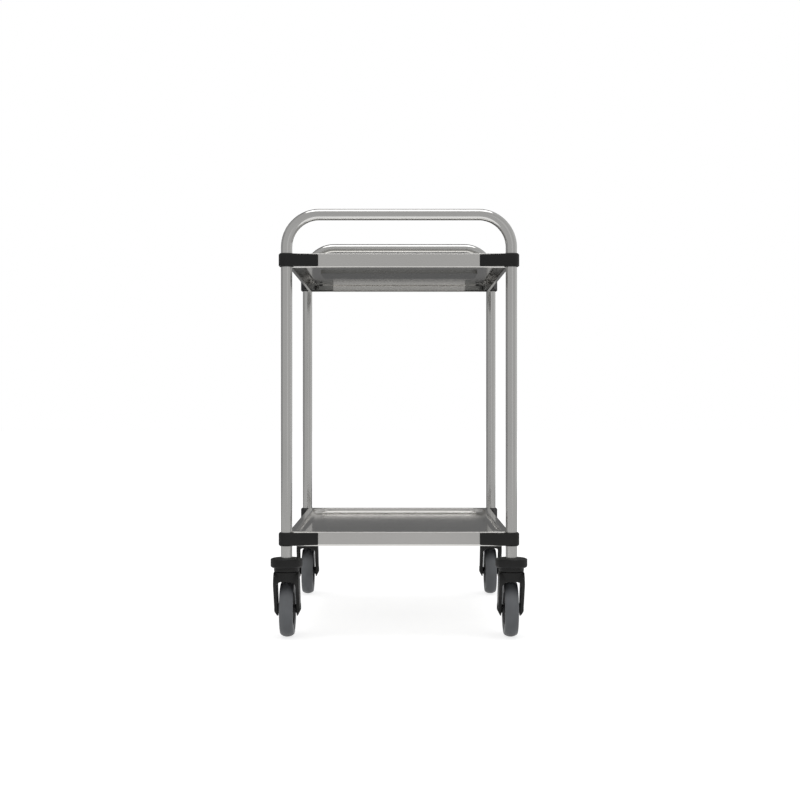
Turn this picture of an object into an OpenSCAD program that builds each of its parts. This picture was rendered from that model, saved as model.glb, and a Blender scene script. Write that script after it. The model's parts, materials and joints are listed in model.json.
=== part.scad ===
// Two-shelf serving trolley on four swivel casters. Millimetres, +Z up, the floor at z = 0.
// X runs across the trolley, Y along it, and the front end is the one at -Y.

/* [Overall] */
// Height from the floor to the top of the push handles
overall_h = 950; // [900:5:1050]
// Distance between leg centres across the trolley
leg_span_x = 497; // [440:1:600]
// Distance between leg centres along the trolley
leg_span_y = 700; // [600:5:900]

/* [Frame tubes] */
// Outside diameter of the tube
tube_d = 25; // [23:0.5:28]
// Wall of the tube
tube_wall = 1.5; // [1.2:0.1:2]
// Centre-line radius of the two bends in each frame
bend_r = 72; // [55:1:85]

/* [Shelves] */
// Distance from the upper shelf's rim up to the top of the push handles
handle_rise = 97.5; // [97:0.5:150]
// Height of the lower shelf's rim above the floor
lower_rim_z = 236; // [230:0.5:420]
// Height of the apron round a shelf
apron_h = 32; // [30:1:40]
// Thickness of the shelf sheet
sheet_t = 1.2; // [0.8:0.1:1.5]
// Distance from a leg's axis in to the apron's outer face
apron_inset = 3; // [2:0.5:5]
// Gap between a leg and the notch in the shelf corner
notch_gap = 0.5; // [0.3:0.1:1]
// Width of the flat rim between the apron and the basin
rim_w = 17.5; // [15:0.5:24]
// Depth of the basin below the rim
basin_depth = 14; // [10:0.5:15]
// Radius of the basin's corners in plan
basin_corner_r = 37; // [25:1:50]
// Radius where the basin's wall meets the deck
basin_fillet_r = 11; // [4:0.5:12]
// Radius of the bend from the rim into the basin
basin_edge_r = 2.5; // [2:0.1:3.5]
// Least straight height of the basin's wall between its two bends
basin_wall_h = 0.5; // [0.2:0.1:2]
// Radius of the bend from the rim to the apron
rim_bend_r = 3; // [2:0.1:4]
// Radius of the bend from the apron to its return flange
hem_bend_r = 4; // [2.5:0.1:5]
// Width of the return flange, from the apron's outer face
hem_w = 9; // [7:0.5:12]

/* [Stiffeners] */
// Length of a stiffener tray across the trolley
stiffener_x = 378; // [300:2:400]
// Width of a stiffener tray along the trolley
stiffener_y = 150; // [80:2:200]
// Depth of a stiffener tray below the deck
stiffener_h = 5; // [3:0.5:8]
// Radius of a stiffener tray's corners in plan
stiffener_corner_r = 12; // [6:1:20]
// Thickness of the stiffener sheet
stiffener_t = 1.5; // [1:0.1:2]

/* [Corner bumpers] */
// Thickness of the bumper outside a leg
bumper_wall = 5; // [2:0.5:6]
// Length of a bumper arm, from the trolley's outer corner
bumper_arm = 87; // [60:1:100]
// Thickness of a bumper arm at its end
bumper_end_t = 7; // [5:0.5:9]
// Distance from the rim down to a bumper's top
bumper_drop = 2.3; // [1:0.1:4]
// Height of a bumper
bumper_h = 26.9; // [20:0.1:28]
// Height of the collar above and below a bumper, round the leg
bumper_collar_h = 1.5; // [1:0.5:4]
// Distance that a collar's edge draws in
bumper_collar_taper = 2; // [1:0.5:2.5]
// Gap between a leg and the bumper's bore
bumper_gap = 0.2; // [0.1:0.05:0.4]

/* [Corner brackets] */
// Width of a bracket arm
bracket_w = 16; // [12:0.5:20]
// Thickness of the ribs in a bracket arm
bracket_rib = 2; // [1.5:0.1:3]
// Thickness of a bracket arm above its pockets
bracket_skin = 1.8; // [1:0.1:3]
// Number of pockets in a bracket arm
bracket_pockets = 3; // [2:1:4]
// Thickness of a bracket's screw tab
tab_t = 1.5; // [1:0.1:2.5]
// Width of a bracket's screw tab
tab_w = 18; // [12:0.5:20]
// Distance from a leg's axis to the tab's stud, across the trolley
stud_x = 40; // [34:0.5:44]
// Radius of a weld stud
stud_r = 2.5; // [2:0.1:3]
// Width across flats of a stud nut
stud_nut_af = 8; // [7:0.5:10]
// Height of a stud nut
stud_nut_h = 4; // [3:0.5:5]

/* [Frame bolts] */
// Radius of a frame bolt's shank
bolt_r = 3; // [2.5:0.1:4]
// Width across flats of a frame bolt's head
bolt_af = 10; // [8:0.5:11]
// Height of a frame bolt's head
bolt_head_h = 4; // [3:0.5:5]
// Distance from a leg's axis to the seat of the bolt's head
bolt_seat = 22; // [20:0.5:24]
// Distance from a leg's axis to the inner end of a bolt and its insert
bolt_end = 5.5; // [4:0.5:7]
// Outer radius of the threaded insert in a leg
insert_r = 4.5; // [4.3:0.1:5.5]
// Radial clearance round bolts and inserts
hole_gap = 0.2; // [0.1:0.05:0.4]

/* [Casters] */
// Height of the housing's top above the floor
caster_h = 178; // [170:1:190]
// Diameter of the housing's disc
disc_d = 70.5; // [60:0.5:76]
// Height of the housing's neck below its disc
neck_h = 8.5; // [6:0.5:12]
// Radius of the disc's lower edge
disc_edge_r = 4; // [2:0.5:4.5]
// Height of the slope round the disc's upper edge
disc_slope_h = 1.5; // [0.5:0.5:3]
// Radius of the spacer between the housing and the bearing's inner race
spacer_r = 8.8; // [7.5:0.1:9.5]
// Diameter of the housing's neck and of the fork's head
neck_d = 55.5; // [50:0.5:56]
// Height of the fork head's top above the floor
fork_top_z = 148; // [146:0.5:152]
// Height of the groove between the housing and the fork
groove_h = 1.5; // [1:0.1:2.5]
// Height of the fork crown's underside above the floor
crown_z = 128; // [127:0.5:132]
// Overall width of the fork
fork_w = 56.5; // [56.5:0.5:66]
// Gap between the fork's legs
fork_gap = 42; // [40:0.5:44]
// Radius of the inner corners of the fork's arch
fork_arch_r = 12; // [4:0.5:16]
// Distance from the crown's underside down to where the fork's flanks run straight
fork_shoulder_h = 8; // [5:0.5:15]
// Distance from the top of the fork's head down to the top of its legs
fork_lip = 1; // [0.5:0.5:2]
// Radius of the fork leg's end round the axle
fork_end_r = 16.5; // [13:0.5:18]
// Radius of the fork leg's root under the head
fork_root_r = 24; // [20:0.5:27]
// Height of the bevel outside a fork leg's lower end
fork_bevel_h = 11; // [4:0.5:14]
// Thickness that the bevel leaves at a fork leg's lower end
fork_tip_t = 1.5; // [1:0.5:4]
// Radius of the boss on a fork leg, round the axle
boss_r = 11.5; // [10:0.5:13]
// Height that a boss stands proud of its leg
boss_h = 1; // [0.5:0.5:2]
// Distance that a boss widens towards its leg
boss_taper = 2; // [1:0.5:2.5]
// Radius of the boss inside a fork leg, round the axle
inner_boss_r = 12; // [9:0.5:13]
// Height of the boss inside a fork leg, towards the hub
inner_boss_h = 2.5; // [1:0.5:5]
// Distance that the inner boss narrows towards the hub
inner_boss_taper = 2.5; // [1:0.5:3]
// Distance that the wheel trails behind the swivel axis
trail = 31; // [27:1:50]
// Diameter of the wheel
wheel_d = 125; // [115:1:127]
// Width of the tyre
tyre_w = 30.4; // [28:0.2:35]
// Radius of the tyre's crown across its tread
crown_r = 24; // [20:1:40]
// Radius of the wheel core that the tyre sits on
core_r = 43; // [36:1:48]
// Width of the wheel core's rim
core_w = 27; // [20:1:30]
// Thickness of the wheel core's rim
core_rim_t = 6; // [4:0.5:8]
// Thickness of the wheel core's web
web_t = 6; // [4:0.5:10]
// Number of ribs on each side of the web
core_ribs = 8; // [5:1:10]
// Thickness of a rib
core_rib_t = 3; // [2:0.5:4]
// Distance from the side of the core's rim in to the edge of a rib
core_rib_inset = 2; // [1:0.5:4]
// Radius of the wheel core's hub
hub_r = 9; // [8:0.5:12]
// Radius of the swivel pin
pin_r = 6; // [5:0.5:7]
// Width across flats of the swivel pin's nut
pin_nut_af = 19; // [16:0.5:20]
// Height of the swivel pin's nut
pin_nut_h = 7; // [6:0.5:8]
// Gap between the swivel pin's nut and the wall of its pocket in the crown
pin_nut_gap = 1; // [0.5:0.5:2]
// Thickness of the crown between the bearing's seat and the nut's pocket
crown_web = 2; // [1.5:0.5:3]
// Length of the swivel pin below its nut
pin_tip = 1; // [0.5:0.5:2]
// Radius of the axle
axle_r = 4; // [3.5:0.5:5]
// Radius of the axle's head
axle_head_r = 7; // [6.5:0.1:8]
// Height of the axle's head and of its nut
axle_head_h = 4; // [3:0.5:4.5]
// Width across flats of the axle's nut
axle_nut_af = 13; // [11:0.5:13.5]
// Depth of the recess in a fork leg for the axle's head or nut
axle_recess = 4.5; // [4:0.5:6]
// Gap between the axle's head and the wall of its recess
axle_head_gap = 1; // [0.8:0.1:1.5]
// Wall of the bush between the axle and the core
bush_wall = 2; // [1.5:0.1:2.5]
// Gap between the stem's plug and the threaded insert above it
plug_gap = 4; // [2:0.5:12]
// Outer radius of the swivel bearing
bearing_r = 17.5; // [16:0.5:20]
// Height of the swivel bearing
bearing_h = 10; // [9:0.5:12]
// Number of balls in the swivel bearing
bearing_balls = 9; // [6:1:10]
// Radius of a ball
ball_r = 2.8; // [2.5:0.1:3]
// Gap between the bearing's races
race_gap = 3.4; // [2.4:0.1:4]

/* [Hidden] */
$fn = 64;
// Clearances: a shaft that turns in its bore, and a piece that is fixed in its seat
running_gap = 0.05;
seat_gap = 0.05;
side_gap = 0.3;
cut = 1;
flank_tuck = 0.02;

leg_x = leg_span_x / 2;
leg_y = leg_span_y / 2;
tube_r = tube_d / 2;
tube_bore_r = tube_r - tube_wall;
notch_r = tube_r + notch_gap;
disc_r = disc_d / 2;
wheel_r = wheel_d / 2;
upper_rim_z = overall_h - handle_rise;

// The origin is midway between the front casters' discs and the rear wheels' treads
bumper_out = tube_r + bumper_wall;
front_reach = leg_y + max(disc_r, bumper_out);
rear_reach = leg_y + max(trail + wheel_r, disc_r, bumper_out);
frame_y = (front_reach - rear_reach) / 2;

// Half sizes of a shelf and of its basin
pan_x = leg_x - apron_inset;
pan_y = leg_y - apron_inset;
basin_x = pan_x - rim_w;
basin_y = pan_y - rim_w;

// Heights inside a shelf, measured from its rim
deck_under = -basin_depth - sheet_t;
floor_fillet_r = min(basin_fillet_r, basin_depth - basin_edge_r - basin_wall_h);
bracket_low = hem_bend_r - apron_h;
bolt_level = (bracket_low + deck_under) / 2;

// Plan of a corner, measured from the leg's axis outwards
apron_face = -apron_inset;
apron_back = apron_face - sheet_t;
bracket_back = apron_back - bracket_w;
arm_end = bumper_out - bumper_arm;
stud_y = -arm_end - tab_w / 2;

// The caster
neck_r = neck_d / 2;
neck_z = fork_top_z + groove_h;
disc_z = neck_z + neck_h;
fork_end_z = wheel_r - fork_end_r;
axle_seat = fork_w / 2 - axle_recess;
plug_top_z = lower_rim_z + bolt_level - insert_r - plug_gap;
bearing_z = fork_top_z - bearing_h;
nut_pocket_z = bearing_z - crown_web;
pin_nut_z = nut_pocket_z - side_gap - pin_nut_h;
pin_end_z = pin_nut_z - pin_tip;
bush_r = axle_r + running_gap + bush_wall;
hub_half = fork_gap / 2 - inner_boss_h - side_gap;

CORNERS = [
    ["front_left", -1, -1],
    ["front_right", 1, -1],
    ["rear_left", -1, 1],
    ["rear_right", 1, 1],
];
SHELVES = [["upper", upper_rim_z], ["lower", lower_rim_z]];
ENDS = [["front", -1], ["rear", 1]];
CASTER_PARTS = ["stem", "housing", "bearing", "fork", "axle", "bush", "core", "tyre"];

steel = [0.66, 0.65, 0.63];
bright_steel = [0.74, 0.74, 0.75];
black_plastic = [0.16, 0.16, 0.16];
grey_casting = [0.5, 0.5, 0.5];
tyre_grey = [0.36, 0.37, 0.38];
core_grey = [0.25, 0.25, 0.26];

// Places its children at a leg, with the trolley's inside towards -X and -Y
module at_corner(c) {
    translate([c[1] * leg_x, c[2] * leg_y, 0])
        mirror([c[1] < 0 ? 1 : 0, 0, 0])
            mirror([0, c[2] < 0 ? 1 : 0, 0])
                children();
}

// Places its children at a leg, unturned, because all four casters trail the same way
module at_leg(c) {
    translate([c[1] * leg_x, c[2] * leg_y, 0]) children();
}

// Lays a shape that is drawn along +Z along the diagonal from a leg to the trolley's inside
module on_diagonal(level) {
    translate([0, 0, level]) rotate([0, 0, 225]) rotate([0, 90, 0]) children();
}

module tube(r_out, r_in, h) {
    difference() {
        cylinder(r = r_out, h = h);
        translate([0, 0, -cut]) cylinder(r = r_in, h = h + 2 * cut);
    }
}

module hex(across_flats, h) {
    cylinder(r = across_flats / 2 / cos(30), h = h, $fn = 6);
}

// Two circles joined by straight flanks, whose ends are tucked a hair inside both circles
module tapered_link(c1, r1, c2, r2) {
    d = norm(c2 - c1);
    turn = atan2(c2[1] - c1[1], c2[0] - c1[0]);
    lean = acos((r1 - r2) / d);
    in1 = r1 - flank_tuck;
    in2 = r2 - flank_tuck;
    translate(c1) circle(r1);
    translate(c2) circle(r2);
    polygon([
        c1 + in1 * [cos(turn + lean), sin(turn + lean)],
        c2 + in2 * [cos(turn + lean), sin(turn + lean)],
        c2 + in2 * [cos(turn - lean), sin(turn - lean)],
        c1 + in1 * [cos(turn - lean), sin(turn - lean)],
    ]);
}

// One end frame

module frame_path(r) {
    straight = overall_h - tube_r - bend_r - caster_h;
    for (side = [-1, 1]) {
        translate([side * leg_x, 0, caster_h]) cylinder(r = r, h = straight);
        translate([side * (leg_x - bend_r), 0, overall_h - tube_r - bend_r])
            rotate([90, 0, 0])
                rotate([0, 0, side > 0 ? 0 : 90])
                    rotate_extrude(angle = 90) translate([bend_r, 0]) circle(r);
    }
    translate([bend_r - leg_x, 0, overall_h - tube_r])
        rotate([0, 90, 0]) cylinder(r = r, h = 2 * (leg_x - bend_r));
}

module end_frame(end) {
    color(bright_steel)
        translate([0, end * leg_y, 0])
            difference() {
                frame_path(tube_r);
                frame_path(tube_bore_r);
                for (side = [-1, 1], s = SHELVES)
                    translate([side * leg_x, 0, 0])
                        mirror([side < 0 ? 1 : 0, 0, 0])
                            mirror([0, end < 0 ? 1 : 0, 0])
                                on_diagonal(s[1] + bolt_level)
                                    cylinder(r = insert_r + seat_gap, h = notch_r);
            }
}

// Shelves, drawn with the rim's top at z = 0

module rounded_strip(half, low, high, low_r, high_r) {
    difference() {
        translate([-half, low]) square([2 * half, high - low]);
        for (side = [-1, 1]) mirror([side < 0 ? 1 : 0, 0]) {
            difference() {
                translate([half - low_r, low - cut]) square([low_r + cut, low_r + cut]);
                translate([half - low_r, low + low_r]) circle(low_r);
            }
            difference() {
                translate([half - high_r, high - high_r]) square([high_r + cut, high_r + cut]);
                translate([half - high_r, high - high_r]) circle(high_r);
            }
        }
    }
}

module rounded_slab(x, y, low, high, low_r, high_r) {
    intersection() {
        rotate([90, 0, 0])
            linear_extrude(2 * y, center = true) rounded_strip(x, low, high, low_r, high_r);
        rotate([90, 0, 90])
            linear_extrude(2 * x, center = true) rounded_strip(y, low, high, low_r, high_r);
    }
}

module basin_half_section(half, low, high, floor_r, edge_r) {
    translate([0, low]) square([half - floor_r, high - low]);
    translate([0, low + floor_r]) square([half, high - low - floor_r]);
    translate([half - floor_r, low + floor_r]) circle(floor_r);
    difference() {
        translate([half - cut, high - edge_r]) square([edge_r + cut, edge_r]);
        translate([half + edge_r, high - edge_r]) circle(edge_r);
    }
}

module basin_section(half, low, high, floor_r, edge_r) {
    for (side = [0, 1]) mirror([side, 0])
        basin_half_section(half, low, high, floor_r, edge_r);
}

module basin(x, y, low, high, corner_r, floor_r, edge_r) {
    rotate([90, 0, 0])
        linear_extrude(2 * (y - corner_r), center = true)
            basin_section(x, low, high, floor_r, edge_r);
    rotate([90, 0, 90])
        linear_extrude(2 * (x - corner_r), center = true)
            basin_section(y, low, high, floor_r, edge_r);
    for (sx = [-1, 1], sy = [-1, 1])
        translate([sx * (x - corner_r), sy * (y - corner_r), 0])
            rotate_extrude() basin_half_section(corner_r, low, high, floor_r, edge_r);
}

module notches(r, low, high) {
    for (c = CORNERS) at_leg(c) translate([0, 0, low]) cylinder(r = r, h = high - low);
}

module hollow_under_rim() {
    difference() {
        union() {
            rounded_slab(pan_x - sheet_t, pan_y - sheet_t, sheet_t - apron_h, -sheet_t,
                hem_bend_r - sheet_t, rim_bend_r - sheet_t);
            translate([hem_w - pan_x, hem_w - pan_y, -apron_h - cut])
                cube([2 * (pan_x - hem_w), 2 * (pan_y - hem_w), apron_h / 2]);
        }
        basin(basin_x + sheet_t, basin_y + sheet_t, deck_under, -sheet_t,
            basin_corner_r + sheet_t, floor_fillet_r + sheet_t, basin_edge_r - sheet_t);
        notches(notch_r + sheet_t, -apron_h - 2 * cut, 0);
    }
}

module pan() {
    difference() {
        rounded_slab(pan_x, pan_y, -apron_h, 0, hem_bend_r, rim_bend_r);
        hollow_under_rim();
        basin(basin_x, basin_y, -basin_depth, 0, basin_corner_r, floor_fillet_r, basin_edge_r);
        notches(notch_r, -apron_h - cut, cut);
        for (c = CORNERS) at_corner(c)
            on_diagonal(bolt_level) cylinder(r = bolt_r + hole_gap, h = bolt_seat);
    }
    for (c = CORNERS) at_corner(c)
        translate([-stud_x, -stud_y, deck_under - tab_t - stud_nut_h])
            cylinder(r = stud_r, h = tab_t + stud_nut_h + sheet_t / 2);
}

module shelf(rim_z) {
    color(steel) translate([0, 0, rim_z]) pan();
}

// The stiffener is a shallow tray under the deck, open side up

module rounded_plate(x, y, r, h) {
    translate([-x, r - y, 0]) cube([2 * x, 2 * (y - r), h]);
    translate([r - x, -y, 0]) cube([2 * (x - r), 2 * y, h]);
    for (sx = [-1, 1], sy = [-1, 1])
        translate([sx * (x - r), sy * (y - r), 0]) cylinder(r = r, h = h);
}

module stiffener(rim_z) {
    color(steel)
        translate([0, 0, rim_z + deck_under - stiffener_h])
            difference() {
                rounded_plate(stiffener_x / 2, stiffener_y / 2, stiffener_corner_r, stiffener_h);
                translate([0, 0, stiffener_t])
                    rounded_plate(stiffener_x / 2 - stiffener_t, stiffener_y / 2 - stiffener_t,
                        stiffener_corner_r - stiffener_t, stiffener_h);
            }
}

// Corner pieces, drawn with the leg's axis at the origin and the shelf's rim at z = 0

module bumper_plan() {
    end_r = bumper_end_t / 2;
    nose = [arm_end + end_r, apron_face + end_r];
    tapered_link([0, 0], bumper_out, nose, end_r);
    tapered_link([0, 0], bumper_out, [nose[1], nose[0]], end_r);
}

module bumper() {
    low = -bumper_drop - bumper_h;
    collar_r = bumper_out - bumper_collar_taper;
    color(black_plastic)
        difference() {
            union() {
                translate([0, 0, low]) linear_extrude(bumper_h) bumper_plan();
                translate([0, 0, low - bumper_collar_h])
                    cylinder(r1 = collar_r, r2 = bumper_out, h = bumper_collar_h);
                translate([0, 0, -bumper_drop])
                    cylinder(r1 = bumper_out, r2 = collar_r, h = bumper_collar_h);
            }
            translate([0, 0, -apron_h - bumper_collar_h - cut])
                cylinder(r = tube_r + bumper_gap, h = apron_h + 2 * bumper_collar_h + 2 * cut);
            translate([apron_face - bumper_arm, apron_face - bumper_arm, -2 * apron_h])
                cube([bumper_arm, bumper_arm, 3 * apron_h]);
        }
}

module bracket_arm() {
    length = apron_back - arm_end;
    translate([arm_end, bracket_back, bracket_low])
        cube([length, bracket_w, deck_under - bracket_low]);
}

module bracket_arm_pockets() {
    first = arm_end + bracket_rib;
    room = -bolt_seat - bracket_rib - first;
    pitch = room / bracket_pockets;
    depth = deck_under - bracket_skin - bracket_low;
    for (i = [0 : bracket_pockets - 1])
        translate([first + i * pitch, bracket_back + bracket_rib, bracket_low - cut])
            cube([pitch - bracket_rib, bracket_w - 2 * bracket_rib, depth + cut]);
}

module transpose() {
    mirror([1, -1, 0]) children();
}

module bracket() {
    nut_seat = bolt_seat + bracket_w;
    color(grey_casting)
        difference() {
            union() {
                bracket_arm();
                transpose() bracket_arm();
                translate([-stud_x - tab_w / 2, arm_end, deck_under - tab_t])
                    cube([stud_x + tab_w / 2 + bracket_back + cut, tab_w, tab_t]);
            }
            bracket_arm_pockets();
            transpose() bracket_arm_pockets();
            translate([0, 0, bracket_low - cut])
                cylinder(r = notch_r + sheet_t + seat_gap, h = apron_h);
            rotate([0, 0, 225])
                translate([bolt_seat, -bracket_w / 2, bracket_low - cut])
                    cube([nut_seat - bolt_seat, bracket_w, apron_h]);
            on_diagonal(bolt_level) cylinder(r = bolt_r + hole_gap, h = nut_seat);
            translate([-stud_x, -stud_y, bracket_low])
                cylinder(r = stud_r + hole_gap, h = apron_h);
        }
}

module frame_bolt() {
    on_diagonal(bolt_level) {
        translate([0, 0, bolt_end]) cylinder(r = bolt_r, h = bolt_seat - bolt_end);
        translate([0, 0, bolt_seat]) rotate([0, 0, 30]) hex(bolt_af, bolt_head_h);
    }
}

module frame_bolts(rim_z) {
    color(bright_steel)
        for (c = CORNERS) at_corner(c) translate([0, 0, rim_z]) frame_bolt();
}

module stud_nuts(rim_z) {
    color(black_plastic)
        for (c = CORNERS) at_corner(c)
            translate([-stud_x, -stud_y, rim_z + deck_under - tab_t - stud_nut_h])
                difference() {
                    hex(stud_nut_af, stud_nut_h);
                    translate([0, 0, -cut])
                        cylinder(r = stud_r + seat_gap, h = stud_nut_h + 2 * cut);
                }
}

module threaded_inserts() {
    flush = sqrt(pow(tube_r, 2) - pow(insert_r, 2));
    color(bright_steel)
        for (c = CORNERS, s = SHELVES) at_corner(c) translate([0, 0, s[1]])
            on_diagonal(bolt_level)
                translate([0, 0, bolt_end])
                    tube(insert_r, bolt_r + seat_gap, flush - bolt_end);
}

// Casters, drawn with the swivel axis on Z and the wheel trailing towards +Y

module caster_stem() {
    color(bright_steel) {
        translate([0, 0, pin_end_z]) cylinder(r = pin_r, h = caster_h - pin_end_z);
        translate([0, 0, caster_h])
            cylinder(r = tube_bore_r - seat_gap, h = plug_top_z - caster_h);
    }
}

module pin_nut() {
    translate([0, 0, pin_nut_z])
        difference() {
            hex(pin_nut_af, pin_nut_h);
            translate([0, 0, -cut])
                cylinder(r = pin_r + seat_gap, h = pin_nut_h + 2 * cut);
        }
}

module swivel_pin_nuts() {
    color(bright_steel) for (c = CORNERS) at_leg(c) pin_nut();
}

module housing_section() {
    flat_r = disc_r - disc_edge_r;
    slope_z = caster_h - disc_slope_h;
    bore = pin_r + seat_gap;
    translate([bore, disc_z]) square([flat_r - bore, caster_h - disc_z]);
    translate([bore, disc_z + disc_edge_r]) square([disc_r - bore, slope_z - disc_z - disc_edge_r]);
    translate([flat_r, disc_z + disc_edge_r]) circle(disc_edge_r);
    polygon([[flat_r, caster_h], [flat_r, slope_z], [disc_r, slope_z]]);
    translate([bore, neck_z]) square([neck_r - bore, disc_z - neck_z]);
    translate([bore, fork_top_z]) square([spacer_r - bore, groove_h]);
}

module caster_housing() {
    color(black_plastic) rotate_extrude() housing_section();
}

module caster_bearing() {
    inner_r = pin_r + running_gap;
    pitch_r = (inner_r + bearing_r) / 2;
    color(bright_steel)
        translate([0, 0, bearing_z]) {
            difference() {
                union() {
                    tube(bearing_r - seat_gap, pitch_r + race_gap / 2, bearing_h);
                    tube(pitch_r - race_gap / 2, inner_r, bearing_h);
                }
                translate([0, 0, bearing_h / 2])
                    rotate_extrude() translate([pitch_r, 0]) circle(ball_r + seat_gap);
            }
            for (i = [0 : bearing_balls - 1])
                rotate([0, 0, 360 * i / bearing_balls])
                    translate([pitch_r, 0, bearing_h / 2]) sphere(ball_r);
        }
}

// The fork seen from its side: (across the axle, height)
module fork_side() {
    tapered_link([0, crown_z], fork_root_r, [trail, wheel_r], fork_end_r);
}

// The fork seen from the front, with straight flanks below its head
module fork_front() {
    half = fork_w / 2;
    arch_x = fork_gap / 2 - fork_arch_r;
    arch_z = crown_z - fork_arch_r;
    difference() {
        for (side = [0, 1]) mirror([side, 0])
            polygon([
                [-cut, fork_top_z - fork_lip], [neck_r, fork_top_z - fork_lip],
                [half, crown_z - fork_shoulder_h],
                [half, fork_end_z - cut], [-cut, fork_end_z - cut],
            ]);
        translate([-fork_gap / 2, fork_end_z - 2 * cut])
            square([fork_gap, arch_z - fork_end_z + 2 * cut]);
        translate([-arch_x, arch_z - fork_arch_r]) square([2 * arch_x, 2 * fork_arch_r]);
        for (side = [-1, 1]) translate([side * arch_x, arch_z]) circle(fork_arch_r);
    }
}

module fork_legs() {
    intersection() {
        rotate([90, 0, 90]) linear_extrude(fork_w + 2 * cut, center = true) fork_side();
        rotate([90, 0, 0])
            linear_extrude(2 * (trail + fork_end_r + cut), center = true) fork_front();
    }
}

// What the bevels take off the outer sides of the leg ends and of their bosses
module fork_bevels() {
    tip = fork_gap / 2 + fork_tip_t;
    slope = (fork_w / 2 - tip) / fork_bevel_h;
    outer = fork_w / 2 + boss_h + cut;
    rotate([90, 0, 0])
        linear_extrude(2 * (trail + fork_end_r + cut), center = true)
            for (side = [0, 1]) mirror([side, 0])
                polygon([
                    [tip - slope * cut, fork_end_z - cut], [outer, fork_end_z - cut],
                    [outer, fork_end_z + (outer - tip) / slope],
                ]);
}

// Lays a shape that is drawn round Z round the axle, towards +X or towards -X
module on_axle(side = 1) {
    translate([0, trail, wheel_r]) rotate([0, side * 90, 0]) children();
}

module caster_fork() {
    color(black_plastic)
        difference() {
            union() {
                translate([0, 0, crown_z]) cylinder(r = neck_r, h = fork_top_z - crown_z);
                fork_legs();
                for (side = [-1, 1]) on_axle(side) {
                    translate([0, 0, axle_seat])
                        cylinder(r1 = boss_r + boss_taper, r2 = boss_r, h = axle_recess + boss_h);
                    translate([0, 0, fork_gap / 2 - inner_boss_h])
                        cylinder(r1 = inner_boss_r - inner_boss_taper, r2 = inner_boss_r,
                            h = inner_boss_h);
                }
            }
            fork_bevels();
            translate([0, 0, bearing_z]) cylinder(r = bearing_r, h = bearing_h + cut);
            translate([0, 0, crown_z - cut])
                cylinder(r = pin_r + side_gap, h = bearing_z - crown_z + 2 * cut);
            translate([0, 0, crown_z - cut])
                cylinder(r = pin_nut_af / 2 / cos(30) + pin_nut_gap, h = nut_pocket_z - crown_z + cut);
            on_axle() cylinder(r = axle_r + seat_gap, h = 2 * fork_w, center = true);
            for (side = [-1, 1]) on_axle(side) translate([0, 0, axle_seat])
                cylinder(r = axle_head_r + axle_head_gap, h = fork_w);
        }
}

module caster_axle() {
    color(bright_steel) {
        on_axle() cylinder(r = axle_r, h = 2 * (axle_seat + axle_head_h), center = true);
        on_axle(-1) translate([0, 0, axle_seat]) cylinder(r = axle_head_r, h = axle_head_h);
        on_axle() translate([0, 0, axle_seat])
            difference() {
                hex(axle_nut_af, axle_head_h);
                translate([0, 0, -cut])
                    cylinder(r = axle_r + seat_gap, h = axle_head_h + 2 * cut);
            }
    }
}

module caster_bush() {
    color(bright_steel)
        on_axle() translate([0, 0, -hub_half])
            tube(bush_r, axle_r + running_gap, 2 * hub_half);
}

module caster_core() {
    rim_in = core_r - core_rim_t;
    rib_w = core_w - 2 * core_rib_inset;
    color(core_grey)
        on_axle() difference() {
            union() {
                translate([0, 0, -core_w / 2]) tube(core_r, rim_in, core_w);
                translate([0, 0, -web_t / 2]) cylinder(r = rim_in + cut, h = web_t);
                translate([0, 0, -hub_half]) cylinder(r = hub_r, h = 2 * hub_half);
                for (i = [0 : core_ribs - 1])
                    rotate([0, 0, 360 * i / core_ribs])
                        translate([hub_r - cut, -core_rib_t / 2, -rib_w / 2])
                            cube([rim_in - hub_r + 2 * cut, core_rib_t, rib_w]);
            }
            translate([0, 0, -hub_half - cut])
                cylinder(r = bush_r + seat_gap, h = 2 * hub_half + 2 * cut);
        }
}

module tyre_section() {
    intersection() {
        translate([wheel_r - crown_r, 0]) circle(crown_r);
        translate([core_r + seat_gap, -tyre_w / 2]) square([wheel_r, tyre_w]);
    }
}

module caster_tyre() {
    color(tyre_grey) on_axle() rotate_extrude($fn = 96) tyre_section();
}

module caster_part(name) {
    if (name == "stem") caster_stem();
    if (name == "housing") caster_housing();
    if (name == "bearing") caster_bearing();
    if (name == "fork") caster_fork();
    if (name == "axle") caster_axle();
    if (name == "bush") caster_bush();
    if (name == "core") caster_core();
    if (name == "tyre") caster_tyre();
}

module placed() {
    translate([0, frame_y, 0]) children();
}

for (e = ENDS)
    placed() end_frame(e[1]);
for (s = SHELVES) {
    placed() shelf(s[1]);
    placed() stiffener(s[1]);
    placed() frame_bolts(s[1]);
    placed() stud_nuts(s[1]);
}
for (s = SHELVES, c = CORNERS) {
    placed() at_corner(c) translate([0, 0, s[1]]) bumper();
    placed() at_corner(c) translate([0, 0, s[1]]) bracket();
}
placed() threaded_inserts();
placed() swivel_pin_nuts();
for (c = CORNERS, p = CASTER_PARTS)
    placed() at_leg(c) caster_part(p);
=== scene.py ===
"""The looks of a two-shelf serving trolley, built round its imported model. Metres, +Z up."""

import json
import math

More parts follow.
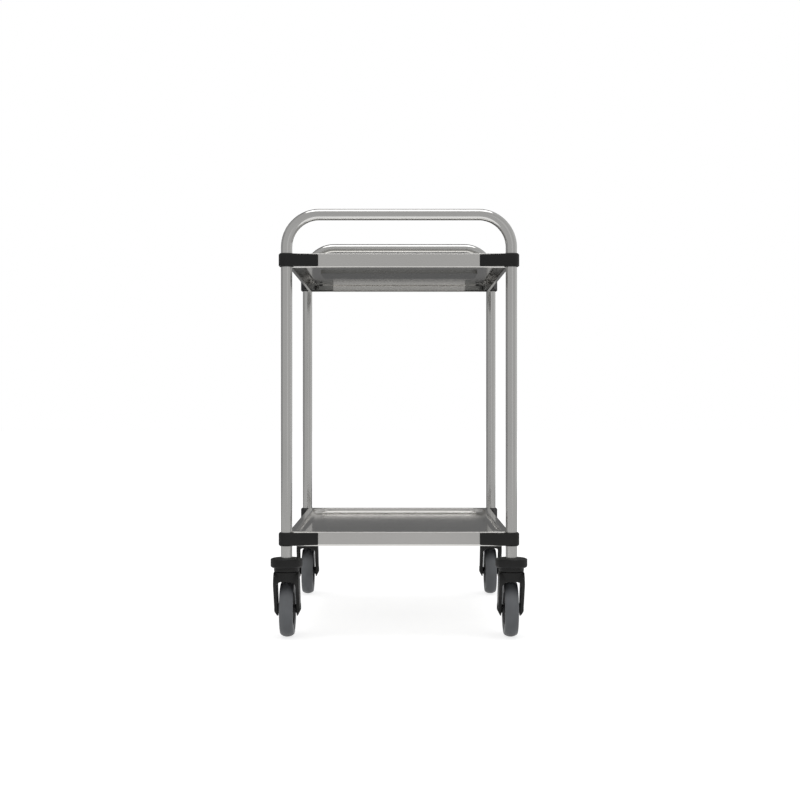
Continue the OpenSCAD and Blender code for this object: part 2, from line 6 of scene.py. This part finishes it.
import bmesh
import bpy
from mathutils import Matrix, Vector


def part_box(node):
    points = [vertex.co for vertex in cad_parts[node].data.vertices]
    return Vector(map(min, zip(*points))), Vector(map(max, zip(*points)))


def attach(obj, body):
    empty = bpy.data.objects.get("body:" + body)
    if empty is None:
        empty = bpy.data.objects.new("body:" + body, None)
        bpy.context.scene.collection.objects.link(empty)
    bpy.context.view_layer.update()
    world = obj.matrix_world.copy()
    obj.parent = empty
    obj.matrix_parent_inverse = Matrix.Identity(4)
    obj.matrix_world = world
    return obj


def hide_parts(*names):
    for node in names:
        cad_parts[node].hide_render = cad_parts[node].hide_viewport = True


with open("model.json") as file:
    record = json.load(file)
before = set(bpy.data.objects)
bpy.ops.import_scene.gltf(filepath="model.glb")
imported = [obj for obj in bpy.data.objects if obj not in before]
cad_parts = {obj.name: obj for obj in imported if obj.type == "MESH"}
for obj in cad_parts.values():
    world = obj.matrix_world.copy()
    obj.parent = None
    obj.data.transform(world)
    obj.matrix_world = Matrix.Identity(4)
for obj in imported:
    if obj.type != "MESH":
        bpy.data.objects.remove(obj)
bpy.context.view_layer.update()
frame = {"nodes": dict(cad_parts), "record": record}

MM = 0.001
CORNERS = (("front_left", -1, -1), ("front_right", 1, -1), ("rear_left", -1, 1), ("rear_right", 1, 1))
SHELVES = ("upper", "lower")


def middle(name):
    """The centre of a node's box."""
    low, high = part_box(name)
    return (low + high) / 2


# Sizes that the frame gives
FRAME_LOW, FRAME_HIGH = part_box("front_frame")
TUBE_R = (FRAME_HIGH.y - FRAME_LOW.y) / 2
LEG_X = FRAME_HIGH.x - TUBE_R
LEG_Y = {end: middle(end + "_frame").y for end in ("front", "rear")}
MID_Y = (LEG_Y["front"] + LEG_Y["rear"]) / 2
PAN_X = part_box("upper_shelf")[1].x


# Camera

CAMERA_DISTANCE = 3.096
CAMERA_HEIGHT = 0.5276
CAMERA_X = 0.0023
LENS_MM = 63.0
SENSOR_MM = 36.0
FAR_CLIP = 60.0


def make_camera():
    """Looks along the trolley, level, from in front of the front end."""
    data = bpy.data.cameras.new("camera")
    data.lens = LENS_MM
    data.sensor_width = SENSOR_MM
    data.clip_end = FAR_CLIP
    camera = bpy.data.objects.new("camera", data)
    camera.location = (CAMERA_X, LEG_Y["front"] - CAMERA_DISTANCE, CAMERA_HEIGHT)
    camera.rotation_euler = (math.pi / 2, 0, 0)
    bpy.context.scene.collection.objects.link(camera)
    bpy.context.scene.camera = camera


# Node helpers

def new_nodes(owner):
    """An empty node tree in a material or a world."""
    owner.use_nodes = True
    tree = owner.node_tree
    tree.nodes.clear()
    return tree


def link(tree, source, target):
    tree.links.new(source, target)


def node(tree, kind, **settings):
    """A new node, with each setting given to the input of that name or else to the property."""
    made = tree.nodes.new(kind)
    for name, value in settings.items():
        if name in made.inputs:
            made.inputs[name].default_value = value
        else:
            setattr(made, name, value)
    return made


def math_node(tree, operation, first, second):
    """The output of a math node that takes two sockets or numbers."""
    made = node(tree, "ShaderNodeMath", operation=operation)
    for socket, value in zip(made.inputs, (first, second)):
        if isinstance(value, (int, float)):
            socket.default_value = value
        else:
            link(tree, value, socket)
    return made.outputs[0]


def ramp(tree, factor, low, high):
    """A colour ramp from one stop to another, each a (position, grey or colour)."""
    made = node(tree, "ShaderNodeValToRGB")
    for element, (position, value) in zip(made.color_ramp.elements, (low, high)):
        element.position = position
        colour = (value, value, value) if isinstance(value, (int, float)) else value
        element.color = (*colour, 1)
    link(tree, factor, made.inputs[0])
    return made.outputs[0]


def seen_directly(tree):
    """1 for rays that come straight from the camera, from a mirror or through glass."""
    path = node(tree, "ShaderNodeLightPath")
    either = math_node(tree, "MAXIMUM", path.outputs["Is Camera Ray"], path.outputs["Is Glossy Ray"])
    return math_node(tree, "MAXIMUM", either, path.outputs["Is Transmission Ray"])


# Stage

WHITE = (1, 1, 1, 1)
WORLD_LIGHT = 0.62
FLOOR_SIZE = 40.0
FLOOR_GREY = (0.5, 0.5, 0.5, 1)
FLOOR_WHITE = 0.75


def make_world():
    """White to the camera and in mirrors, and a plain even light on the trolley."""
    world = bpy.data.worlds.new("studio")
    bpy.context.scene.world = world
    tree = new_nodes(world)
    light = node(tree, "ShaderNodeBackground", Color=WHITE, Strength=WORLD_LIGHT)
    shown = node(tree, "ShaderNodeBackground", Color=WHITE, Strength=1.0)
    mix = node(tree, "ShaderNodeMixShader")
    link(tree, seen_directly(tree), mix.inputs[0])
    link(tree, light.outputs[0], mix.inputs[1])
    link(tree, shown.outputs[0], mix.inputs[2])
    link(tree, mix.outputs[0], node(tree, "ShaderNodeOutputWorld").inputs[0])


def stage_mesh(name, corners, material):
    """A strip of quads between the first and the second half of the corners."""
    mesh = bpy.data.meshes.new(name)
    count = len(corners) // 2
    quads = [(i, i + 1, count + i + 1, count + i) for i in range(count - 1)]
    mesh.from_pydata(corners, [], quads)
    mesh.materials.append(material)
    stand = bpy.data.objects.new(name, mesh)
    bpy.context.scene.collection.objects.link(stand)
    return stand


def make_floor():
    """A pale floor that is white to the camera, apart from the trolley's soft shadow."""
    material = bpy.data.materials.new("floor")
    tree = new_nodes(material)
    matt = node(tree, "ShaderNodeBsdfDiffuse", Color=FLOOR_GREY)
    glow = node(tree, "ShaderNodeEmission")
    link(tree, math_node(tree, "MULTIPLY", seen_directly(tree), FLOOR_WHITE), glow.inputs["Strength"])
    both = node(tree, "ShaderNodeAddShader")
    link(tree, matt.outputs[0], both.inputs[0])
    link(tree, glow.outputs[0], both.inputs[1])
    link(tree, both.outputs[0], node(tree, "ShaderNodeOutputMaterial").inputs[0])
    half = FLOOR_SIZE / 2
    stage_mesh("floor", [(-half, -half, 0), (half, -half, 0), (-half, half, 0), (half, half, 0)], material)


# Sectors round the trolley, in degrees from its +Y side towards +X
NEAR = (105, 255)
NEAR_STRIP = (150, 170)
RIGHT = (24, 105)
LEFT = (255, 308)
BACK = (-52, 24)
FLOOR_NEAR = (135, 225)
FLOOR_RIGHT = (60, 135)
FLOOR_LEFT = (225, 300)
FLOOR_FAR = (-60, 60)
SECTOR_STEP = 5

# Edges of the flats, each a (radius, height)
FLAT_R = 5.2
STRIP_R = 5.1
FLAT_TOP = 3.4
FOOT = (FLAT_R, 0.0)
SPLIT = (FLAT_R, 1.3)
TOP = (FLAT_R, FLAT_TOP)
HOOD = (1.1, 4.6)
FLOOR_Z = 0.002
RING_NEAR = (1.3, FLOOR_Z)
RING = (0.62, FLOOR_Z)
RIM = (FLAT_R, FLOOR_Z)

# Name, sector, lower or inner edge, upper or outer edge, and grey
FLATS = (
    ("near_flat", NEAR, FOOT, TOP, 0.54),
    ("near_strip", NEAR_STRIP, (STRIP_R, 0.0), (STRIP_R, FLAT_TOP), 0.66),
    ("right_flat", RIGHT, FOOT, TOP, 0.65),
    ("left_flat", LEFT, FOOT, TOP, 0.38),
    ("back_flat", BACK, FOOT, SPLIT, 0.15),
    ("back_top_flat", BACK, SPLIT, TOP, 0.18),
    ("near_hood", NEAR, TOP, HOOD, 0.54),
    ("right_hood", RIGHT, TOP, HOOD, 0.6),
    ("left_hood", LEFT, TOP, HOOD, 0.45),
    ("back_hood", BACK, TOP, HOOD, 0.15),
    ("floor_flat_near", FLOOR_NEAR, RING_NEAR, RIM, 0.56),
    ("floor_flat_right", FLOOR_RIGHT, RING, RIM, 0.56),
    ("floor_flat_left", FLOOR_LEFT, RING, RIM, 0.56),
    ("floor_flat_far", FLOOR_FAR, RING, RIM, 0.16),
)


def make_flat(name, sector, first_edge, second_edge, grey):
    """A grey studio flat on a sector round the trolley, seen in its reflections alone."""
    material = bpy.data.materials.new(name)
    tree = new_nodes(material)
    glow = node(tree, "ShaderNodeEmission", Color=(grey, grey, grey, 1), Strength=1.0)
    link(tree, glow.outputs[0], node(tree, "ShaderNodeOutputMaterial").inputs[0])
    start, end = sector
    steps = round((end - start) / SECTOR_STEP)
    corners = []
    for radius, height in (first_edge, second_edge):
        for i in range(steps + 1):
            turn = math.radians(start + (end - start) * i / steps)
            corners.append((radius * math.sin(turn), MID_Y + radius * math.cos(turn), height))
    flat = stage_mesh(name, corners, material)
    flat.visible_camera = False
    flat.visible_diffuse = False
    flat.visible_shadow = False
    flat.visible_transmission = False
    flat.visible_volume_scatter = False


CEILING_SIZE = (3.2, 2.8)
CEILING_PLACE = (0, -0.3, 4.4)
CEILING_TARGET = (0, -0.3, 0)
CEILING_LIGHT = 1.8
BASIN_LIGHT_SIZE = (0.43, 0.13)
BASIN_LIGHT = 0.1
BASIN_LIGHT_SPREAD = math.radians(50)
BASIN_LIGHT_Z = 0.47
BASIN_LIGHT_BACK = 0.143
FILLET_FROM_LEG = 0.036
FILLET_Z = 0.2


def make_panel(name, size, place, target, strength):
    """A soft light of (width, height) at place, turned towards target."""
    data = bpy.data.lights.new(name, "AREA")
    data.shape = "RECTANGLE"
    data.size, data.size_y = size
    data.energy = strength * size[0] * size[1] * math.pi
    lamp = bpy.data.objects.new(name, data)
    lamp.location = place
    lamp.rotation_euler = (Vector(target) - Vector(place)).to_track_quat("-Z", "Y").to_euler()
    bpy.context.scene.collection.objects.link(lamp)
    return lamp


def make_lights():
    """A ceiling light, and a small low one that only the lower shelf mirrors, in its far fillet."""
    make_panel("ceiling_light", CEILING_SIZE, CEILING_PLACE, CEILING_TARGET, CEILING_LIGHT)
    fillet_y = LEG_Y["rear"] - FILLET_FROM_LEG
    low = make_panel("basin_light", BASIN_LIGHT_SIZE, (0, fillet_y - BASIN_LIGHT_BACK, BASIN_LIGHT_Z),
                     (0, fillet_y, FILLET_Z), BASIN_LIGHT)
    low.visible_diffuse = False
    low.data.spread = BASIN_LIGHT_SPREAD
    lit = bpy.data.collections.new("lit_by_basin_light")
    lit.objects.link(frame["nodes"]["lower_shelf"])
    low.light_linking.receiver_collection = lit


# Materials

CLOUD_DETAIL = 2.0
CLOUD_LOW = 0.3
CLOUD_HIGH = 0.7
GRAIN_DETAIL = 3.0
GRAIN_MIDDLE = 0.5


def finish_material(name, build):
    """A material whose Principled shader is set up by build."""
    material = bpy.data.materials.new(name)
    tree = new_nodes(material)
    shader = node(tree, "ShaderNodeBsdfPrincipled")
    link(tree, shader.outputs[0], node(tree, "ShaderNodeOutputMaterial").inputs[0])
    build(tree, shader)
    return material


def noise_field(tree, scale, detail):
    """Noise on the object's own coordinates, its grain stretched by scale, one number per axis."""
    place = node(tree, "ShaderNodeTexCoord")
    sized = node(tree, "ShaderNodeMapping", Scale=scale)
    link(tree, place.outputs["Object"], sized.inputs["Vector"])
    made = node(tree, "ShaderNodeTexNoise", Scale=1.0, Detail=detail)
    link(tree, sized.outputs[0], made.inputs["Vector"])
    return made.outputs["Fac"]


def cloud_colour(tree, shader, base, size, shade):
    """Faint cloudy patches of the base colour times shade."""
    clouds = noise_field(tree, (size, size, size), CLOUD_DETAIL)
    low = tuple(c * shade for c in base)
    link(tree, ramp(tree, clouds, (CLOUD_LOW, low), (CLOUD_HIGH, base)), shader.inputs["Base Color"])


def grain_surface(tree, shader, scale, rough, swing, width, relief, depth):
    """A fine grain: swing is its share in the roughness, and relief and depth raise its bumps."""
    grain = noise_field(tree, scale, GRAIN_DETAIL)
    smooth = (GRAIN_MIDDLE - width, rough * (1 - swing))
    matt = (GRAIN_MIDDLE + width, rough * (1 + swing))
    link(tree, ramp(tree, grain, smooth, matt), shader.inputs["Roughness"])
    bumps = node(tree, "ShaderNodeBump", Strength=relief, Distance=depth)
    link(tree, grain, bumps.inputs["Height"])
    link(tree, bumps.outputs["Normal"], shader.inputs["Normal"])


def steel(base, rough, scale, depth):
    """Stainless steel with a soft grain that scale stretches along the brushing."""
    def build(tree, shader):
        shader.inputs["Metallic"].default_value = 1.0
        cloud_colour(tree, shader, base, size=6, shade=0.94)
        grain_surface(tree, shader, scale, rough, swing=0.1, width=0.25, relief=0.25, depth=depth)
    return build


def plastic(base, rough, grain, depth, gloss):
    """Moulded plastic or rubber with a fine even grain."""
    def build(tree, shader):
        shader.inputs["Specular IOR Level"].default_value = gloss
        cloud_colour(tree, shader, base, size=25, shade=0.85)
        grain_surface(tree, shader, (grain, grain, grain), rough,
                      swing=0.15, width=0.3, relief=0.3, depth=depth)
    return build


FINISHES = {
    "tube_steel": steel((0.62, 0.615, 0.6), 0.13, (500, 500, 500), 0.0003 * MM),
    "shelf_steel": steel((0.67, 0.66, 0.64), 0.14, (30, 900, 900), 0.0003 * MM),
    # A darker copy of the shelf steel: painted shade for the stiffeners, which sit in the hollow under
    # each shelf
    "stiffener_painted_shade_steel": steel((0.28, 0.28, 0.27), 0.2, (900, 30, 900), 0.001 * MM),
    "bracket_grey": steel((0.3, 0.3, 0.29), 0.42, (1200, 1200, 1200), 0.03 * MM),
    "fastener_steel": steel((0.55, 0.55, 0.56), 0.28, (1500, 1500, 1500), 0.01 * MM),
    "bumper_black": plastic((0.0182, 0.0182, 0.0179), 0.5, 2500, 0.03 * MM, 0.24),
    "nut_black": plastic((0.012, 0.012, 0.012), 0.4, 2500, 0.02 * MM, 0.4),
    "caster_black": plastic((0.0142, 0.0142, 0.0139), 0.5, 1800, 0.04 * MM, 0.26),
    "core_grey": plastic((0.05, 0.05, 0.053), 0.5, 1800, 0.04 * MM, 0.4),
    "tyre_grey": plastic((0.178, 0.186, 0.197), 0.5, 1500, 0.05 * MM, 0.4),
}
MATERIALS = {finish: finish_material(finish, build) for finish, build in FINISHES.items()}


def dress_cad_nodes():
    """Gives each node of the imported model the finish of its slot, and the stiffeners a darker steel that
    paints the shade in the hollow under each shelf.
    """
    finishes = {entry["node"]: entry["material_slot"] for entry in frame["record"]["subparts"]}
    # The stiffeners get the darker steel, painted shade for the hollow under the shelf
    for shelf in SHELVES:
        finishes[shelf + "_stiffener"] = "stiffener_painted_shade_steel"
    for name, obj in frame["nodes"].items():
        obj.material_slots[0].material = MATERIALS[finishes[name]]


# Shapes

SHARP_ANGLE = math.radians(32)
ROUND_STEPS = 5
TURN_STEPS = 96


def rounded_path(corners):
    """A closed outline of (x, y, radius) corners, each rounded by an arc of its radius."""
    outline = []
    for i, (x, y, radius) in enumerate(corners):
        here = Vector((x, y))
        if radius == 0:
            outline.append(here)
            continue
        before = (Vector(corners[i - 1][:2]) - here).normalized()
        after = (Vector(corners[(i + 1) % len(corners)][:2]) - here).normalized()
        half = before.angle(after) / 2
        centre = here + (before + after).normalized() * radius / math.sin(half)
        start = here + before * radius / math.tan(half) - centre
        end = here + after * radius / math.tan(half) - centre
        turns = [start.slerp(end, k / ROUND_STEPS).normalized() for k in range(ROUND_STEPS + 1)]
        outline += [centre + turn * radius for turn in turns]
    return outline


def arc_points(centre, radius, first, last, steps):
    """Points along an arc from one angle to another, in degrees."""
    turns = [math.radians(first + (last - first) * k / steps) for k in range(steps + 1)]
    return [Vector((centre[0] + radius * math.cos(t), centre[1] + radius * math.sin(t))) for t in turns]


def join_rows(bm, rows, closed_round=False):
    """Skins closed rows of points that follow each other, and returns their vertices."""
    made = [[bm.verts.new(point) for point in row] for row in rows]
    pairs = list(zip(made, made[1:]))
    if closed_round:
        pairs.append((made[-1], made[0]))
    for low, high in pairs:
        for i in range(len(low)):
            j = (i + 1) % len(low)
            bm.faces.new((low[i], low[j], high[j], high[i]))
    return made


def add_capped(bm, rows):
    """Skins closed rows of points and closes both ends."""
    skin = join_rows(bm, rows)
    bm.faces.new(skin[0])
    bm.faces.new(skin[-1])


def turned(bm, outline, centre, axis, steps=TURN_STEPS):
    """Adds a solid of revolution: the outline's x is the radius and its y runs along the axis."""
    rows = []
    for k in range(steps):
        turn = 2 * math.pi * k / steps
        across = (math.cos(turn), math.sin(turn))
        if axis == "z":
            rows.append([centre + Vector((x * across[0], x * across[1], y)) for x, y in outline])
        else:
            rows.append([centre + Vector((y, x * across[0], x * across[1])) for x, y in outline])
    join_rows(bm, rows, closed_round=True)


def add_piece(name, mesh, body, slot, replaced):
    """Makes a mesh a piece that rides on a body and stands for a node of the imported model."""
    mesh.materials.append(MATERIALS[slot])
    piece = bpy.data.objects.new(name, mesh)
    bpy.context.scene.collection.objects.link(piece)
    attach(piece, body)
    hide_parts(replaced)
    return piece


def add_moulded(bm, body, slot, replaced):
    """Turns a bmesh into a smooth piece with crisp edges."""
    bmesh.ops.recalc_face_normals(bm, faces=bm.faces)
    name = replaced + "_moulded"
    mesh = bpy.data.meshes.new(name)
    bm.to_mesh(mesh)
    bm.free()
    mesh.shade_smooth()
    mesh.set_sharp_from_angle(angle=SHARP_ANGLE)
    add_piece(name, mesh, body, slot, replaced)


# Corner bumpers

BUMPER_TIP_R = 3.5 * MM
BUMPER_BORE_R = TUBE_R + 0.2 * MM
BUMPER_ROUND = 1.8 * MM
BUMPER_FACE = PAN_X - LEG_X
COLLAR_H = 1.5 * MM
COLLAR_ROOT = 1.0 * MM
COLLAR_TAPER = 2.0 * MM
COLLAR_TOP_TAPER = 2.6 * MM
COLLAR_SHOULDER = 1.05 * MM
TIP_STEPS = 10
OUTER_STEPS = 24
BORE_STEPS = 32
COLLAR_STEPS = 40

# Where the shelf's side cuts the bore, in degrees
BUMPER_MOUTH = 180 + math.degrees(math.asin(-BUMPER_FACE / BUMPER_BORE_R))


def bumper_outline(out_r, arm_end, inset):
    """The plan of a bumper round a leg at the origin, with its outer side drawn in by inset."""
    tip = (arm_end + BUMPER_TIP_R, BUMPER_FACE + BUMPER_TIP_R)
    turn = math.degrees(math.atan2(tip[1], tip[0]))
    lean = math.degrees(math.acos((out_r - BUMPER_TIP_R) / math.hypot(*tip)))
    flank = turn - lean
    tip_arc = arc_points(tip, BUMPER_TIP_R - inset, 270, flank, TIP_STEPS)
    outer = tip_arc + arc_points((0, 0), out_r - inset, flank, 90 - flank, OUTER_STEPS)
    outer += [Vector((p.y, p.x)) for p in reversed(tip_arc)]
    return outer + arc_points((0, 0), BUMPER_BORE_R, 90 - BUMPER_MOUTH, BUMPER_MOUTH, BORE_STEPS)


def bumper_levels(low, high):
    """The (inset, height) levels of a bumper's body, whose two edges are rounded."""
    levels = []
    for k in range(ROUND_STEPS + 1):
        turn = math.pi / 2 * k / ROUND_STEPS
        levels.append((BUMPER_ROUND * (1 - math.sin(turn)), BUMPER_ROUND * (1 - math.cos(turn))))
    rising = [(inset, low + rise) for inset, rise in levels]
    return rising + [(inset, high - rise) for inset, rise in reversed(levels)]


def make_bumper(name, sx, sy):
    """A moulded corner with rounded edges and a low collar round the leg at its top and bottom."""
    low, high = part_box(name)
    leg_y = LEG_Y["front" if sy < 0 else "rear"]
    out_r = (high.x if sx > 0 else -low.x) - LEG_X
    arm_end = out_r - (high.x - low.x)
    body_low = low.z + COLLAR_H
    body_high = high.z - COLLAR_H

    def place(point, z):
        return Vector((sx * (LEG_X + point.x), leg_y + sy * point.y, z))

    bm = bmesh.new()
    add_capped(bm, [[place(p, z) for p in bumper_outline(out_r, arm_end, inset)]
                    for inset, z in bumper_levels(body_low, body_high)])
    section = ((BUMPER_BORE_R, -COLLAR_ROOT), (out_r - COLLAR_ROOT, -COLLAR_ROOT),
               (out_r - COLLAR_TAPER, COLLAR_SHOULDER), (out_r - COLLAR_TOP_TAPER, COLLAR_H),
               (BUMPER_BORE_R, COLLAR_H))
    arcs = [arc_points((0, 0), r, 90 - BUMPER_MOUTH, BUMPER_MOUTH, COLLAR_STEPS) for r, _ in section]
    for base, up in ((body_high, 1), (body_low, -1)):
        add_capped(bm, [[place(arc[k], base + up * z) for arc, (_, z) in zip(arcs, section)]
                        for k in range(COLLAR_STEPS + 1)])
    add_moulded(bm, "root", "bumper_black", name)


# Casters

HOUSING_BORE_R = 6.05 * MM
SPACER_R = 8.8 * MM
GROOVE_H = 1.5 * MM
NECK_R = 27.75 * MM
NECK_H = 8.5 * MM
NECK_ROUND = 0.8 * MM
DISC_EDGE_R = 4.0 * MM
CHAMFER_H = 1.6 * MM
CHAMFER_W = 3.2 * MM
CHAMFER_LOW_R = 1.2 * MM
CHAMFER_TOP_R = 1.0 * MM
RING_FROM_EDGE = 6.0 * MM
RING_FROM_LEG = 2.6 * MM
RING_SLOPE = 0.8 * MM
RING_DEPTH = 0.6 * MM
RING_ROUND = 0.3 * MM


def make_housing(name):
    """The fixed head: a thick disc with a rounded lower edge and a shallow ring in its top."""
    low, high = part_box(name)
    disc_r = (high.x - low.x) / 2
    height = high.z - low.z
    disc_low = GROOVE_H + NECK_H
    ring_out = disc_r - RING_FROM_EDGE
    ring_in = TUBE_R + RING_FROM_LEG
    ring_low = height - RING_DEPTH
    outline = rounded_path((
        (HOUSING_BORE_R, 0, 0), (SPACER_R, 0, 0), (SPACER_R, GROOVE_H, 0),
        (NECK_R, GROOVE_H, NECK_ROUND), (NECK_R, disc_low, NECK_ROUND),
        (disc_r, disc_low, DISC_EDGE_R), (disc_r, height - CHAMFER_H, CHAMFER_LOW_R),
        (disc_r - CHAMFER_W, height, CHAMFER_TOP_R),
        (ring_out, height, RING_ROUND), (ring_out - RING_SLOPE, ring_low, RING_ROUND),
        (ring_in + RING_SLOPE, ring_low, RING_ROUND), (ring_in, height, RING_ROUND),
        (HOUSING_BORE_R, height, 0)))
    bm = bmesh.new()
    turned(bm, outline, Vector(((low.x + high.x) / 2, (low.y + high.y) / 2, low.z)), "z")
    add_moulded(bm, "root", "caster_black", name)


TYRE_SEAT_R = 43.05 * MM
TYRE_CROWN_R = 24.0 * MM
TYRE_STEPS = 128
TREAD_HALF = 13.0 * MM
TREAD_STEPS = 16
SHOULDER_STEP = 0.25 * MM
SHOULDER_STEP_W = 0.6 * MM
SHOULDER_STEP_FOOT = 0.1 * MM

# The sidewall, in mm: each point's rise above the seat, and its depth below the wheel's side
SIDEWALL = ((0, 1.6), (0.5, 0.9), (1.6, 0.7), (2.2, 1.3), (3.4, 1.3), (4.2, 0.5), (6.5, 0.1))

# The shoulder, in mm: each point's drop below the tread's edge, and its depth below the wheel's side
SHOULDER = ((3.0, 0), (1.2, 0.1), (0.1, 0.6))


def make_tyre(name, body):
    """A rubber tread with a crown, a fine step along each shoulder and a beaded sidewall."""
    low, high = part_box(name)
    half = (high.x - low.x) / 2
    centre = middle(name)

    def crown(x):
        return centre.z - TYRE_CROWN_R + math.sqrt(TYRE_CROWN_R ** 2 - x ** 2)

    edge = crown(half)
    side = [(TYRE_SEAT_R + rise * MM, half - depth * MM) for rise, depth in SIDEWALL]
    side += [(edge - drop * MM, half - depth * MM) for drop, depth in SHOULDER]
    step_end = TREAD_HALF + SHOULDER_STEP_W
    side += [(crown(step_end) - SHOULDER_STEP, step_end),
             (crown(TREAD_HALF) - SHOULDER_STEP, TREAD_HALF + SHOULDER_STEP_FOOT)]
    across = [TREAD_HALF * (1 - 2 * k / TREAD_STEPS) for k in range(TREAD_STEPS + 1)]
    outline = [Vector(point) for point in side]
    outline += [Vector((crown(x), x)) for x in across]
    outline += [Vector((r, -x)) for r, x in reversed(side)]
    bm = bmesh.new()
    turned(bm, outline, centre, "x", TYRE_STEPS)
    add_moulded(bm, body, "tyre_grey", name)


# Pieces with softened edges

BRACKET_EDGE = 0.3 * MM
FORK_EDGE = 0.8 * MM
CORE_EDGE = 0.4 * MM
EDGE_ANGLE = math.radians(35)
EDGE_SEGMENTS = 2
WELD_REACH = 0.01 * MM


def make_softened(name, body, slot, width):
    """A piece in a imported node's shape with its hard edges rounded, which stands for that node."""
    softened = name + "_softened"
    mesh = frame["nodes"][name].data.copy()
    mesh.name = softened
    stored_normals = mesh.attributes.get("custom_normal")
    if stored_normals:
        mesh.attributes.remove(stored_normals)
    mesh.shade_smooth()
    mesh.materials.clear()
    piece = add_piece(softened, mesh, body, slot, name)
    weld = piece.modifiers.new("weld", "WELD")
    weld.merge_threshold = WELD_REACH
    bevel = piece.modifiers.new("edges", "BEVEL")
    bevel.width = width
    bevel.segments = EDGE_SEGMENTS
    bevel.limit_method = "ANGLE"
    bevel.angle_limit = EDGE_ANGLE
    bevel.harden_normals = True


bpy.context.scene.view_settings.view_transform = "Standard"
make_camera()
make_world()
make_floor()
for flat in FLATS:
    make_flat(*flat)
make_lights()
dress_cad_nodes()
for corner, sx, sy in CORNERS:
    for shelf in SHELVES:
        make_bumper("%s_%s_bumper" % (shelf, corner), sx, sy)
        make_softened("%s_%s_bracket" % (shelf, corner), "root", "bracket_grey", BRACKET_EDGE)
    make_housing(corner + "_caster_housing")
    make_tyre(corner + "_caster_tyre", corner + "_wheel")
    make_softened(corner + "_caster_fork", corner + "_fork", "caster_black", FORK_EDGE)
    make_softened(corner + "_caster_core", corner + "_wheel", "core_grey", CORE_EDGE)
